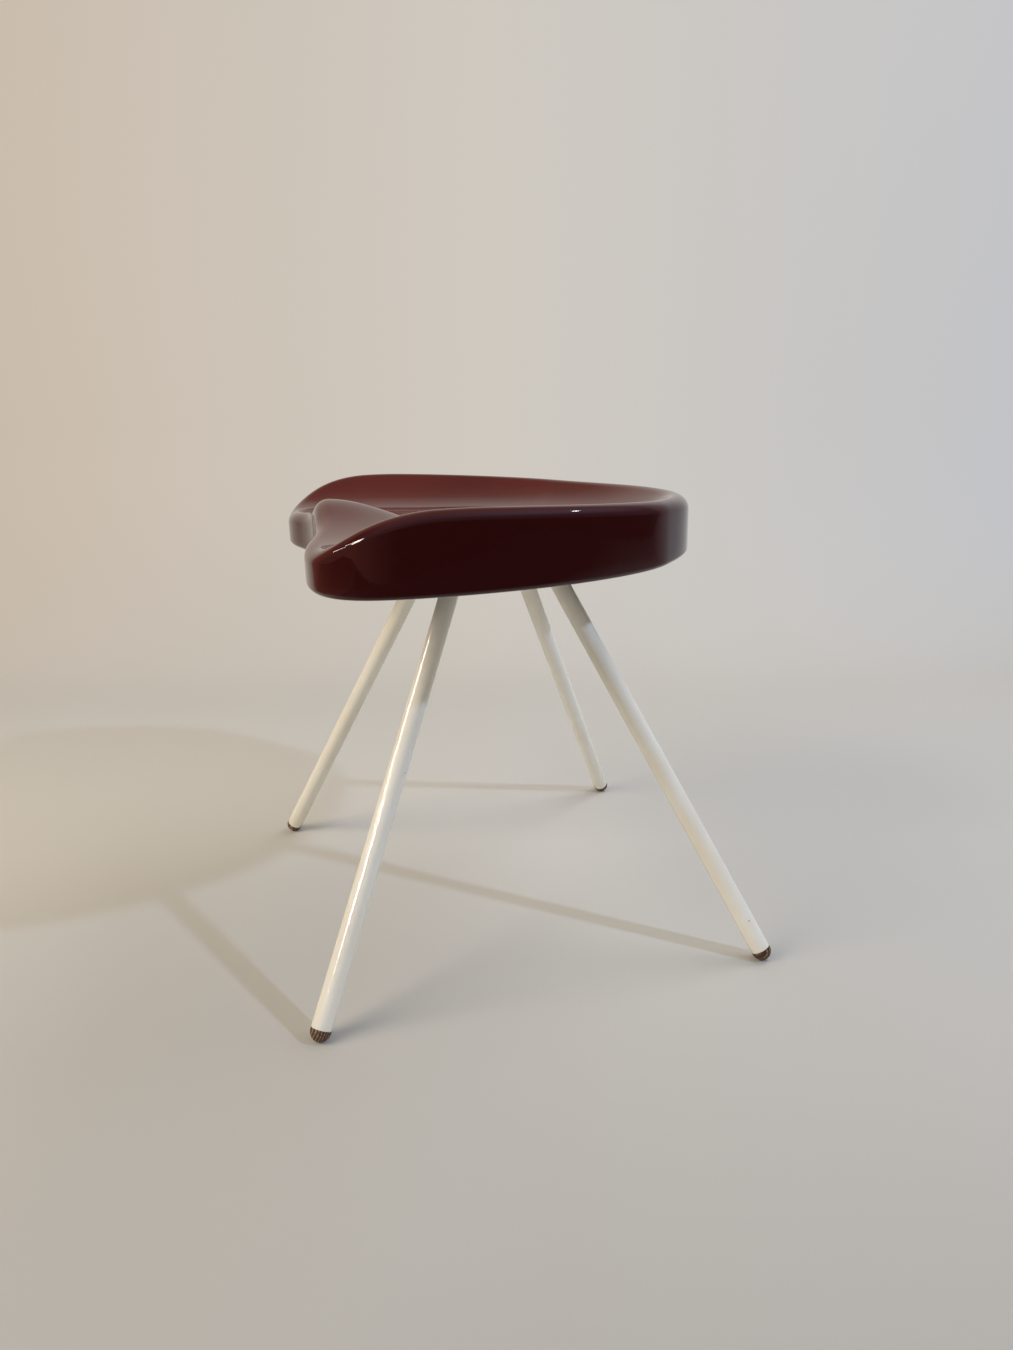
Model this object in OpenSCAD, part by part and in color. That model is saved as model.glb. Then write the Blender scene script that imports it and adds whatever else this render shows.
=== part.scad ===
// A stool with a sculpted seat shell on four splayed tube legs.
// Millimetres, +Z up. The origin is on the floor, in the middle of the four feet.
// The sitter faces -Y, so the sitter's left is +X.

/* [Seat outline] */
// Width of the seat across its sides
seat_w = 470; // [440:5:500]
// Depth of the seat from its front tips to its back edge
seat_depth = 396; // [370:2:420]
// Distance of the front tips ahead of the middle of the feet
seat_forward = 191; // [180:1:205]
// Distance between the two front tips
tip_span = 292; // [270:2:310]
// Depth of the shallow notch between the front tips
notch_depth = 19; // [8:1:30]
// Distance from the front tips back to the widest line
widest_back = 95; // [80:1:110]
// Width of the seat at its rear shoulders
shoulder_w = 314; // [290:2:330]
// Distance from the front tips back to the rear shoulders
shoulder_back = 322; // [305:1:335]
// Angle at which the outline turns in at the rear shoulders
shoulder_angle = 42; // [38:1:48]
// Length of the straight pull of the outline at the notch
notch_pull = 80; // [60:1:90]
// Length of the pull on the inner side of a front tip
tip_inner_pull = 54; // [40:1:60]
// Length of the pull on the outer side of a front tip
tip_outer_pull = 76; // [60:1:85]
// Length of the pull ahead of the widest line
side_front_pull = 65; // [55:1:75]
// Length of the pull behind the widest line
side_back_pull = 97; // [80:1:110]
// Length of the pull ahead of a rear shoulder
shoulder_front_pull = 59; // [45:1:70]
// Length of the pull behind a rear shoulder
shoulder_back_pull = 53; // [40:1:65]
// Length of the pull at the back edge
back_pull = 73; // [55:1:85]

/* [Seat heights] */
// Height of the seat's lower edge above the floor
seat_low = 383; // [370:1:400]
// Height of the rim at the sides, where it is highest, above the lower edge
side_h = 67; // [61:0.5:73]
// Height of the rim at the back above the lower edge
back_h = 55.5; // [49:0.5:61]
// Height of the front edge at the thighs above the lower edge
front_h = 32; // [31:0.5:38]
// Height of the pan's floor above the lower edge
pan_h = 29; // [26.5:0.5:30.5]
// Share of the pan that stays level around its middle
pan_level = 0.55; // [0.5:0.01:0.65]
// Steepness with which the pan's side climbs to the rim
pan_climb = 2.5; // [2:0.1:3]
// Distance of the pan's middle behind the front tips
pan_back = 201; // [190:1:212]
// Share of the way from the widest line to a rear shoulder at which the rim is highest
rim_peak = 0.12; // [0:0.01:0.3]
// Slowness with which the rim begins to climb from a front tip
rim_rise = 2.1; // [1.5:0.05:2.5]
// Roundness with which the rim comes up to its highest point
rim_crown = 2.55; // [1.8:0.05:3]
// Slowness with which the rim begins to fall towards the back
rim_fall = 1.3; // [1.1:0.05:1.8]
// Roundness with which the rim comes down to its height at the back
rim_tail = 3.2; // [2:0.1:4]

/* [Front ridge] */
// Height of the ridge above the pan's floor
ridge_h = 27; // [18:0.5:32]
// Width of the ridge on each side of the middle
ridge_w = 65; // [50:1:80]
// Sharpness with which the ridge fades sideways
ridge_fade = 1.3; // [1:0.05:1.6]
// Distance from the front tips back to the ridge's full height
ridge_crest_back = 41; // [36:1:55]
// Distance from the front tips back to the ridge's rear end
ridge_end_back = 156; // [130:1:170]

/* [Seat shell] */
// Wall of the moulded shell
shell_wall = 5.5; // [5:0.25:6.5]
// Rounding of the top edge at the sides
side_edge_r = 9; // [8:0.5:12]
// Rounding of the top edge at the front tips
tip_edge_r = 13; // [8:0.5:15]
// Rounding of the top edge at the notch
notch_edge_r = 16; // [10:0.5:18]
// Rounding of the top edge at the back
back_edge_r = 15; // [9:0.5:18]
// Rounding of the lower edge on the outside
low_edge_r = 4; // [2:0.25:4.5]
// Share of the pan that is flat below, as a pad for the bosses
pad_share = 0.42; // [0.4:0.01:0.5]

/* [Legs] */
// Outer diameter of the leg tubes
tube_d = 18.5; // [16:0.5:22]
// Wall of the leg tubes
tube_wall = 1.5; // [1:0.25:2]
// Distance between the feet from side to side
foot_span_x = 438.6; // [400:0.2:460]
// Distance between the feet from front to back
foot_span_y = 424.6; // [390:0.2:450]
// Distance between the leg tops from side to side
top_span_x = 117.8; // [108:0.2:122]
// Distance between the leg tops from front to back
top_span_y = 78.3; // [70:0.1:84]

/* [Feet] */
// Diameter of the worn flat under a wooden foot
foot_flat_d = 5; // [4:0.5:8]
// Length of wood that shows between the tube and the dome
foot_collar = 1.75; // [0.5:0.25:4]
// Length of the peg that is pushed into the tube
peg_len = 22; // [12:1:35]
// Gap between a peg and the tube's bore
peg_gap = 0.1; // [0.05:0.01:0.2]

/* [Mounting plate] */
// Length of the plate from side to side
plate_x = 150; // [146:1:160]
// Length of the plate from front to back
plate_y = 120; // [116:1:130]
// Thickness of the plate
plate_t = 4; // [3:0.5:5]
// Corner radius of the plate
plate_r = 22; // [10:1:24]
// Height of the plate's underside above the seat's lower edge
plate_recess = 9; // [8:0.5:10]
// Diameter of the hole in the middle of the plate
vent_d = 30; // [16:1:40]
// Size of the weld beads around the leg tops
weld_size = 3; // [2:0.25:4]
// Gap between a weld bead and its tube
weld_gap = 0.05; // [0.02:0.01:0.1]

/* [Bosses and screws] */
// Diameter of the round bosses under the pan
boss_d = 22; // [18:1:24]
// Distance between the left and the right boss
boss_span_x = 120; // [114:1:122]
// Distance between the front and the rear boss
boss_span_y = 92; // [88:1:94]
// Gap between a boss and the pad above it
boss_gap = 0.3; // [0.2:0.05:0.5]
// Outer diameter of the threaded inserts
insert_d = 9; // [8.5:0.25:11]
// Length of the threaded inserts
insert_len = 7.5; // [6:0.25:8]
// Gap between an insert and its boss
insert_gap = 0.05; // [0.02:0.01:0.1]
// Diameter of the screws
screw_d = 6; // [5:0.5:6]
// Length of the screws below their heads
screw_len = 12; // [9:0.5:12.5]
// Gap between a screw and an insert's thread
thread_gap = 0.05; // [0.02:0.01:0.1]
// Free depth above a screw's tip inside a boss
tip_room = 0.5; // [0.2:0.1:0.8]
// Gap between a screw and the hole in the plate or washer
hole_gap = 0.25; // [0.1:0.05:0.5]
// Diameter of the screw heads
head_d = 10.5; // [9:0.5:12]
// Height of the screw heads
head_h = 3.3; // [2.5:0.1:4]
// Width of the hexagon socket across its flats
socket_w = 4; // [3:0.5:4]
// Depth of the hexagon socket
socket_depth = 2; // [1.5:0.1:2.3]
// Diameter of the washers
washer_d = 13; // [12.5:0.5:16]
// Thickness of the washers
washer_t = 1.2; // [0.8:0.1:1.5]

/* [Hidden] */
$fn = 64;

seat_color = [0.30, 0.06, 0.07];
enamel_color = [0.93, 0.91, 0.85];
wood_color = [0.47, 0.31, 0.18];
boss_color = [0.16, 0.15, 0.15];
brass_color = [0.78, 0.62, 0.30];
steel_color = [0.66, 0.67, 0.69];

// Steps of the shell's mesh: along each stretch of the outline, down the pan and round the edges
stretch_steps = 10;
pan_rows = 18;
under_rows = 14;
edge_steps = 6;
corner_steps = 3;

// Places along the depth of the seat
tip_y = -seat_forward;
notch_y = tip_y + notch_depth;
widest_y = tip_y + widest_back;
shoulder_y = tip_y + shoulder_back;
back_y = tip_y + seat_depth;
pan_middle = [0, tip_y + pan_back];
pan_z = seat_low + pan_h;
pad_z = pan_z - shell_wall;
pad_blend = 0.1;

// Places of the plate, the bosses and the screws
plate_low = seat_low + plate_recess;
plate_top = plate_low + plate_t;
boss_top = pad_z - boss_gap;
washer_low = plate_low - washer_t;
tip_z = washer_low + screw_len + tip_room;
boss_front_at = [0, -boss_span_y/2];
boss_rear_at = [0, boss_span_y/2];
boss_left_at = [boss_span_x/2, 0];
boss_right_at = [-boss_span_x/2, 0];
boss_places = [boss_front_at, boss_rear_at, boss_left_at, boss_right_at];

// Legs: the dome of a foot is centred at foot_z, and a leg runs from there up to the plate
tube_r = tube_d/2;
bore_r = tube_r - tube_wall;
foot_z = sqrt(pow(tube_r, 2) - pow(foot_flat_d/2, 2));
leg_rise = plate_low - foot_z;
leg_run = [(foot_span_x - top_span_x)/2, (foot_span_y - top_span_y)/2];
leg_tilt = atan(norm(leg_run)/leg_rise);
leg_len = norm([leg_run[0], leg_run[1], leg_rise]);
far_reach = 2*seat_w;

// How far a cutting shape runs past what it cuts
over = 1;

// Small helpers
function mix(a, b, t) = a + (b - a)*t;
function ease(t) = let (c = min(1, max(0, t))) c*c*(3 - 2*c);
function swell(t, start, end) = 1 - pow(1 - pow(t, start), end);
function bezier(p, t) =
    pow(1 - t, 3)*p[0] + 3*pow(1 - t, 2)*t*p[1] + 3*(1 - t)*pow(t, 2)*p[2] + pow(t, 3)*p[3];

// The left half of the outline in four stretches: notch to tip, tip to widest line,
// widest line to shoulder, and shoulder to the middle of the back
tip_at = [tip_span/2, tip_y];
widest_at = [seat_w/2, widest_y];
shoulder_at = [shoulder_w/2, shoulder_y];
shoulder_way = [cos(shoulder_angle), -sin(shoulder_angle)];
stretches = [
    [[0, notch_y], [notch_pull, notch_y], tip_at - [tip_inner_pull, 0], tip_at],
    [tip_at, tip_at + [tip_outer_pull, 0], widest_at - [0, side_front_pull], widest_at],
    [widest_at, widest_at + [0, side_back_pull],
        shoulder_at + shoulder_front_pull*shoulder_way, shoulder_at],
    [shoulder_at, shoulder_at - shoulder_back_pull*shoulder_way, [back_pull, back_y], [0, back_y]]
];
half_steps = stretch_steps*len(stretches);
function outline_at(u) = let (i = min(floor(u), len(stretches) - 1)) bezier(stretches[i], u - i);

// Station number of each point round the outline, and the point itself
function station(i) = (i <= half_steps ? i : 2*half_steps - i)/stretch_steps;
ring_count = 2*half_steps;
outline = [
    for (i = [0:ring_count - 1])
        let (p = outline_at(station(i))) i <= half_steps ? p : [-p[0], p[1]]
];
function outward(i) =
    let (a = outline[(i + ring_count - 1) % ring_count], b = outline[(i + 1) % ring_count])
    [b[1] - a[1], a[0] - b[0]]/norm(b - a);
function inset(i, d) = outline[i] - d*outward(i);

// Height of the rim and rounding of its edge along the outline
peak_at = 2 + rim_peak;
back_at = len(stretches);
function rim_h(u) =
    u < 1 ? front_h
    : u < peak_at ? mix(front_h, side_h, swell((u - 1)/(peak_at - 1), rim_rise, rim_crown))
    : mix(side_h, back_h, swell((u - peak_at)/(back_at - peak_at), rim_fall, rim_tail));
function edge_r(u) =
    u < 1 ? mix(notch_edge_r, tip_edge_r, ease(u))
    : u < 2 ? mix(tip_edge_r, side_edge_r, ease(u - 1))
    : mix(side_edge_r, back_edge_r, ease((u - 2)/2));
function ridge(p) =
    ridge_h*ease((tip_y + ridge_end_back - p[1])/(ridge_end_back - ridge_crest_back))
    *pow(1/(1 + pow(p[0]/ridge_w, 2)), ridge_fade);
edges = [for (i = [0:ring_count - 1]) edge_r(station(i))];
crest = [for (i = [0:ring_count - 1]) inset(i, edges[i])];
crest_z = [for (i = [0:ring_count - 1]) seat_low + rim_h(station(i)) + ridge(crest[i])];

// The round of the edge runs on past the crest, by the angle at which the pan's side climbs to it
tilts = [
    for (i = [0:ring_count - 1])
        atan(pan_climb*(rim_h(station(i)) - pan_h)/((1 - pan_level)*norm(crest[i] - pan_middle)))
];
rim = [for (i = [0:ring_count - 1]) inset(i, edges[i]*(1 + sin(tilts[i])))];
rim_z = [for (i = [0:ring_count - 1]) crest_z[i] - edges[i]*(1 - cos(tilts[i]))];

// The pan: rows shrink from the rim to the middle, and s is the share of the way out
function pan_at(i, s) = mix(pan_middle, rim[i], s);
function climb(s) = max(0, (s - pan_level)/(1 - pan_level));
function pan_top(i, s) =
    pan_z + (rim_z[i] - ridge(rim[i]) - pan_z)*pow(climb(s), pan_climb) + ridge(pan_at(i, s));
function top_row(s) = [
    for (i = [0:ring_count - 1]) let (p = pan_at(i, s)) [p[0], p[1], pan_top(i, s)]
];
function under_row(s) = [
    for (i = [0:ring_count - 1])
        let (
            a = tilts[i]*pow(climb(s), pan_climb - 1),
            p = pan_at(i, s) + shell_wall*sin(a)*outward(i),
            low = pan_top(i, s) - shell_wall*cos(a)
        )
        [p[0], p[1], mix(pad_z, low, ease((s - pad_share)/pad_blend))]
];
function round_row(wall, s) = [
    for (i = [0:ring_count - 1])
        let (a = s*(90 + tilts[i]), r = edges[i] - wall, p = inset(i, edges[i] - r*cos(a)))
        [p[0], p[1], crest_z[i] - edges[i] + r*sin(a)]
];
function low_row(d, z) = [
    for (i = [0:ring_count - 1]) let (p = inset(i, d)) [p[0], p[1], z]
];

rows = concat(
    [for (k = [1:pan_rows]) top_row(k/pan_rows)],
    [for (k = [1:edge_steps]) round_row(0, 1 - k/edge_steps)],
    [for (k = [0:corner_steps]) let (a = 90*k/corner_steps)
        low_row(low_edge_r*(1 - cos(a)), seat_low + low_edge_r*(1 - sin(a)))],
    [low_row(shell_wall, seat_low)],
    [for (k = [0:corner_steps]) round_row(shell_wall, k/corner_steps)],
    [for (k = [1:under_rows - 1]) under_row(1 - k/under_rows)]
);

module seat_shell() {
    last = len(rows) - 1;
    points = concat(
        [for (r = rows) each r],
        [[pan_middle[0], pan_middle[1], pan_z + ridge(pan_middle)]],
        [[pan_middle[0], pan_middle[1], pad_z]]
    );
    top_middle = len(points) - 2;
    under_middle = len(points) - 1;
    faces = concat(
        [for (i = [0:ring_count - 1]) [top_middle, (i + 1) % ring_count, i]],
        [for (k = [0:last - 1]) for (i = [0:ring_count - 1])
            let (a = k*ring_count + i, b = k*ring_count + (i + 1) % ring_count)
            each [[a, b, b + ring_count], [a, b + ring_count, a + ring_count]]],
        [for (i = [0:ring_count - 1])
            [under_middle, last*ring_count + i, last*ring_count + (i + 1) % ring_count]]
    );
    color(seat_color) polyhedron(points = points, faces = faces, convexity = 6);
}

module boss(place) {
    color(boss_color) translate([place[0], place[1], 0]) difference() {
        translate([0, 0, plate_top]) cylinder(h = boss_top - plate_top, d = boss_d);
        translate([0, 0, plate_top - over])
            cylinder(h = insert_len + over, d = insert_d + 2*insert_gap);
        translate([0, 0, plate_top - over])
            cylinder(h = tip_z - plate_top + over, d = screw_d + 2*hole_gap);
    }
}

module threaded_inserts() {
    color(brass_color) for (place = boss_places) translate([place[0], place[1], plate_top]) {
        difference() {
            cylinder(h = insert_len, d = insert_d);
            translate([0, 0, -over])
                cylinder(h = insert_len + 2*over, d = screw_d + 2*thread_gap);
        }
    }
}

module mounting_screw() {
    difference() {
        union() {
            cylinder(h = screw_len, d = screw_d);
            intersection() {
                translate([0, 0, -head_h]) cylinder(h = head_h, d = head_d);
                translate([0, 0, head_d - head_h]) sphere(r = head_d);
            }
        }
        translate([0, 0, -head_h - over])
            cylinder(h = socket_depth + over, d = socket_w/cos(30), $fn = 6);
    }
}

module mounting_screws() {
    color(steel_color) for (place = boss_places)
        translate([place[0], place[1], washer_low]) mounting_screw();
}

module mounting_washers() {
    color(steel_color) for (place = boss_places) translate([place[0], place[1], washer_low]) {
        difference() {
            cylinder(h = washer_t, d = washer_d);
            translate([0, 0, -over])
                cylinder(h = washer_t + 2*over, d = screw_d + 2*hole_gap);
        }
    }
}

module plate_outline() {
    square([plate_x - 2*plate_r, plate_y], center = true);
    square([plate_x, plate_y - 2*plate_r], center = true);
    for (x = [-1, 1]) for (y = [-1, 1])
        translate([x*(plate_x/2 - plate_r), y*(plate_y/2 - plate_r)]) circle(r = plate_r);
}

module mounting_plate() {
    color(enamel_color) difference() {
        translate([0, 0, plate_low]) linear_extrude(plate_t) plate_outline();
        translate([0, 0, plate_low - over]) cylinder(h = plate_t + 2*over, d = vent_d);
        for (place = boss_places) translate([place[0], place[1], plate_low - over])
            cylinder(h = plate_t + 2*over, d = screw_d + 2*hole_gap);
    }
}

// Puts its children on a leg's own axis: their origin is the middle of the foot's dome
module on_leg(side, end) {
    translate([side*foot_span_x/2, end*foot_span_y/2, foot_z])
        rotate([0, 0, atan2(-end*leg_run[1], -side*leg_run[0])])
        rotate([0, leg_tilt, 0]) children();
}

module below(z) {
    intersection() {
        children();
        translate([-far_reach/2, -far_reach/2, z - far_reach]) cube(far_reach);
    }
}

module leg(side, end) {
    color(enamel_color) below(plate_low) on_leg(side, end) difference() {
        translate([0, 0, foot_collar]) cylinder(h = leg_len + tube_d, r = tube_r);
        cylinder(h = leg_len + 2*tube_d, r = bore_r);
    }
}

module weld(side, end) {
    color(enamel_color) difference() {
        below(plate_low) on_leg(side, end) difference() {
            translate([0, 0, leg_len - 2*tube_d]) cylinder(h = 4*tube_d, r = tube_r + weld_size);
            cylinder(h = leg_len + 3*tube_d, r = tube_r + weld_gap);
        }
        translate([-far_reach/2, -far_reach/2, plate_low - weld_size - far_reach])
            cube(far_reach);
    }
}

module foot(side, end) {
    color(wood_color) difference() {
        on_leg(side, end) {
            intersection() {
                sphere(r = tube_r);
                translate([0, 0, -2*tube_r]) cylinder(h = 2*tube_r, r = 2*tube_r);
            }
            cylinder(h = foot_collar, r = tube_r);
            cylinder(h = foot_collar + peg_len, r = bore_r - peg_gap);
        }
        translate([-far_reach/2, -far_reach/2, -far_reach]) cube(far_reach);
    }
}

seat_shell();
boss(boss_front_at);  // boss_front
boss(boss_rear_at);  // boss_rear
boss(boss_left_at);  // boss_left
boss(boss_right_at);  // boss_right
threaded_inserts();
mounting_screws();
mounting_washers();
mounting_plate();
weld(1, -1);  // weld_front_left
weld(-1, -1);  // weld_front_right
weld(1, 1);  // weld_rear_left
weld(-1, 1);  // weld_rear_right
leg(1, -1);  // leg_front_left
leg(-1, -1);  // leg_front_right
leg(1, 1);  // leg_rear_left
leg(-1, 1);  // leg_rear_right
foot(1, -1);  // foot_front_left
foot(-1, -1);  // foot_front_right
foot(1, 1);  // foot_rear_left
foot(-1, 1);  // foot_rear_right
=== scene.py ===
import math

import bpy
from mathutils import Matrix, Vector


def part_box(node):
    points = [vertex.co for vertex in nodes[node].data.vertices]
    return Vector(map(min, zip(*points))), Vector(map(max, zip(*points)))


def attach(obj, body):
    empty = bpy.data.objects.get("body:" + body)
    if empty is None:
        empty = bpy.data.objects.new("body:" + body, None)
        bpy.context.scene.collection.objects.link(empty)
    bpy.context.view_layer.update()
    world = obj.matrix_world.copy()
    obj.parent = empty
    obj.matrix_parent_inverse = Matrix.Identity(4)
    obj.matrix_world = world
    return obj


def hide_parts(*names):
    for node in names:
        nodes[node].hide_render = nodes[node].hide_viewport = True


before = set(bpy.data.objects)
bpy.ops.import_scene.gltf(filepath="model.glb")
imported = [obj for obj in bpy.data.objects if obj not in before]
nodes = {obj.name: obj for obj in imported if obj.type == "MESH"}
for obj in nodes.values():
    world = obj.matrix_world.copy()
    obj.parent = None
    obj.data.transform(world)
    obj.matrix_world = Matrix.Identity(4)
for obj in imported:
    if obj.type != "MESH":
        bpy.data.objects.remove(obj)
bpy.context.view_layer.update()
mm = 0.001
print("frame loaded,", len(nodes), "nodes")


# The camera stands where the photograph was taken: metres and degrees, its own sizes in millimetres
cameraLook = {
    "place": (0.9244, -0.2286, 0.5200),
    "heading": 14.980,  # turned from -X towards +Y
    "pitch": 15.875,  # looking down
    "roll": -1.1465,
    "sensor": 36.0,
    "lens": 24.667,
    "clipStart": 0.02,  # metres
}


def headingVectors(degrees):
    turn = math.radians(degrees)
    ahead = Vector((-math.cos(turn), math.sin(turn), 0))
    right = Vector((math.sin(turn), math.cos(turn), 0))
    return ahead, right


def makeCamera(look):
    level, right = headingVectors(look["heading"])
    pitch = math.radians(look["pitch"])
    roll = math.radians(look["roll"])
    ahead = level * math.cos(pitch) - Vector((0, 0, math.sin(pitch)))
    up = right.cross(ahead)
    rightTurned = right * math.cos(roll) + up * math.sin(roll)
    upTurned = up * math.cos(roll) - right * math.sin(roll)
    data = bpy.data.cameras.new("camera")
    data.sensor_width = look["sensor"]
    data.lens = look["lens"]
    data.clip_start = look["clipStart"]
    made = bpy.data.objects.new("camera", data)
    bpy.context.scene.collection.objects.link(made)
    turn = Matrix((rightTurned, upTurned, -ahead)).transposed().to_4x4()
    made.matrix_world = Matrix.Translation(look["place"]) @ turn
    bpy.context.scene.camera = made


makeCamera(cameraLook)
print("camera in place")


# Helpers for numbers, meshes and node trees
nodeGrid = {"columns": 8, "across": 220, "down": 320}


def mix(a, b, t):
    return a + (b - a) * t


def ease(t):
    t = min(1.0, max(0.0, t))
    return t * t * (3 - 2 * t)


def addMesh(name, verts, faces):
    mesh = bpy.data.meshes.new(name)
    mesh.from_pydata([tuple(v) for v in verts], [], faces)
    mesh.shade_smooth()
    made = bpy.data.objects.new(name, mesh)
    bpy.context.scene.collection.objects.link(made)
    return made


def dress(piece, material, slot, *cadNodes):
    piece.data.materials.clear()
    piece.data.materials.append(material)
    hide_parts(*cadNodes)
    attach(piece, "root")


def addNode(tree, kind, inputs=None, **settings):
    made = tree.nodes.new(kind)
    row, column = divmod(len(tree.nodes), nodeGrid["columns"])
    made.location = (column * nodeGrid["across"], -row * nodeGrid["down"])
    for key, value in settings.items():
        setattr(made, key, value)
    for key, value in (inputs or {}).items():
        if isinstance(value, bpy.types.NodeSocket):
            tree.links.new(value, made.inputs[key])
        else:
            made.inputs[key].default_value = value
    return made


def number(tree, operation, *values):
    return addNode(tree, "ShaderNodeMath", dict(enumerate(values)), operation=operation).outputs[0]


def vector(tree, operation, *values, scale=None):
    inputs = dict(enumerate(values))
    if scale is not None:
        inputs["Scale"] = scale
    made = addNode(tree, "ShaderNodeVectorMath", inputs, operation=operation)
    return made.outputs["Value" if operation in ("DOT_PRODUCT", "LENGTH", "DISTANCE") else "Vector"]


def spread(tree, source, start, stop, low, high):
    return addNode(tree, "ShaderNodeMapRange", {
        "Value": source, "From Min": start, "From Max": stop, "To Min": low, "To Max": high,
    }).outputs["Result"]


def newTree(name, kind, inputs, outputs):
    tree = bpy.data.node_groups.new(name, kind)
    for label, socket, value in inputs:
        made = tree.interface.new_socket(label, in_out="INPUT", socket_type="NodeSocket" + socket)
        if value is not None:
            made.default_value = value
    for label, socket in outputs:
        tree.interface.new_socket(label, in_out="OUTPUT", socket_type="NodeSocket" + socket)
    given = addNode(tree, "NodeGroupInput").outputs
    out = addNode(tree, "NodeGroupOutput").inputs
    return tree, given, out


# Surface effects that several finishes share
skinShape = {
    "waveHeight": 0.01,  # metres, at a depth of 1
    "rippleHeight": 0.001,
    "bareCells": 0.8,  # the share of cells that hold no speck
}


def makeSkinGroup(shape):
    # A sprayed skin: long waves and fine ripple in the normal, slow clouds, and a few specks
    tree, given, out = newTree(
        "sprayedSkin", "ShaderNodeTree",
        [("Vector", "Vector", None), ("Ripple Scale", "Float", 400.0), ("Ripple Depth", "Float", 0.02),
         ("Wave Scale", "Float", 20.0), ("Wave Depth", "Float", 0.02), ("Cloud Scale", "Float", 9.0),
         ("Speck Scale", "Float", 90.0), ("Speck Size", "Float", 0.06)],
        [("Normal", "Vector"), ("Cloud", "Float"), ("Speck", "Float")],
    )
    place = given["Vector"]
    wave = addNode(tree, "ShaderNodeTexNoise", {
        "Vector": place, "Scale": given["Wave Scale"], "Detail": 1.0})
    waveBump = addNode(tree, "ShaderNodeBump", {
        "Height": wave.outputs["Fac"], "Strength": given["Wave Depth"], "Distance": shape["waveHeight"]})
    ripple = addNode(tree, "ShaderNodeTexNoise", {
        "Vector": place, "Scale": given["Ripple Scale"], "Detail": 2.0})
    bump = addNode(tree, "ShaderNodeBump", {
        "Height": ripple.outputs["Fac"], "Strength": given["Ripple Depth"],
        "Distance": shape["rippleHeight"], "Normal": waveBump.outputs["Normal"]})
    cloud = addNode(tree, "ShaderNodeTexNoise", {
        "Vector": place, "Scale": given["Cloud Scale"], "Detail": 5.0})
    cell = addNode(tree, "ShaderNodeTexVoronoi", {"Vector": place, "Scale": given["Speck Scale"]}).outputs
    near = number(tree, "LESS_THAN", cell["Distance"], given["Speck Size"])
    chance = addNode(tree, "ShaderNodeSeparateColor", {"Color": cell["Color"]}).outputs["Red"]
    chosen = number(tree, "GREATER_THAN", chance, shape["bareCells"])
    tree.links.new(bump.outputs["Normal"], out["Normal"])
    tree.links.new(cloud.outputs["Fac"], out["Cloud"])
    tree.links.new(number(tree, "MULTIPLY", near, chosen), out["Speck"])
    return tree


woodGrain = {
    "bend": 0.0022,  # metres that the rings wander
    "bendScale": 90.0,
    "lengthwise": 0.25,  # the rings change this much more slowly along the grain
    "heart": (-0.013, -0.006, 0.0),  # the middle of the rings, outside the foot
    "poreScale": 620.0,
    "poreEdge": (0.22, 0.46),
    "dirt": {"Scale": 260.0, "Detail": 6.0, "Roughness": 0.7},
}


def makeWoodGroup(shape):
    # Growth rings that run a little across the foot, with dark pores and rubbed-in dirt
    tree, given, out = newTree(
        "turnedWood", "ShaderNodeTree",
        [("Vector", "Vector", None), ("Ring Width", "Float", 0.0011), ("Dirt", "Float", 0.5)],
        [("Tone", "Float"), ("Pore", "Float"), ("Height", "Float")],
    )
    place = given["Vector"]
    warp = addNode(tree, "ShaderNodeTexNoise", {
        "Vector": place, "Scale": shape["bendScale"], "Detail": 3.0}).outputs["Color"]
    centred = vector(tree, "SUBTRACT", warp, (0.5, 0.5, 0.5))
    bent = vector(tree, "ADD", place, vector(tree, "SCALE", centred, scale=shape["bend"]))
    flat = vector(tree, "MULTIPLY", bent, (1.0, 1.0, shape["lengthwise"]))
    far = vector(tree, "DISTANCE", flat, shape["heart"])
    part = number(tree, "FRACT", number(tree, "DIVIDE", far, given["Ring Width"]))
    pores = addNode(tree, "ShaderNodeTexVoronoi", {
        "Vector": bent, "Scale": shape["poreScale"]}).outputs["Distance"]
    pore = spread(tree, pores, *shape["poreEdge"], 1.0, 0.0)
    dirt = addNode(tree, "ShaderNodeTexNoise", {"Vector": place, **shape["dirt"]}).outputs["Fac"]
    rubbed = number(tree, "MULTIPLY", dirt, given["Dirt"])
    tree.links.new(number(tree, "SUBTRACT", part, rubbed), out["Tone"])
    tree.links.new(pore, out["Pore"])
    tree.links.new(number(tree, "SUBTRACT", part, pore), out["Height"])
    return tree


sprayedSkin = makeSkinGroup(skinShape)
turnedWood = makeWoodGroup(woodGrain)
print("surface effects made")


# Materials

def startMaterial(name):
    material = bpy.data.materials.new(name)
    material.use_nodes = True
    tree = material.node_tree
    return material, tree, tree.nodes["Principled BSDF"]


def placeGroup(tree, group, inputs):
    return addNode(tree, "ShaderNodeGroup", inputs, node_tree=group).outputs


def colourRamp(tree, source, stops):
    stops = list(stops)
    made = addNode(tree, "ShaderNodeValToRGB", {"Fac": source})
    band = made.color_ramp
    while len(band.elements) < len(stops):
        band.elements.new(0.5)
    for element, (where, colour) in zip(band.elements, stops):
        element.position = where
        element.color = (*colour, 1)
    return made.outputs["Color"]


def mixColours(tree, factor, first, second):
    # Sockets 6, 7 and 2 are the colours A, B and Result
    return addNode(tree, "ShaderNodeMix", {0: factor, 6: first, 7: second}, data_type="RGBA").outputs[2]


def blendColour(tree, factor, first, second):
    return mixColours(tree, factor, first, (*second, 1))


def objectPlace(tree):
    return addNode(tree, "ShaderNodeTexCoord").outputs["Object"]


def finishShader(tree, shader, colour, roughness, normal):
    tree.links.new(colour, shader.inputs["Base Color"])
    tree.links.new(roughness, shader.inputs["Roughness"])
    tree.links.new(normal, shader.inputs["Normal"])


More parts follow.
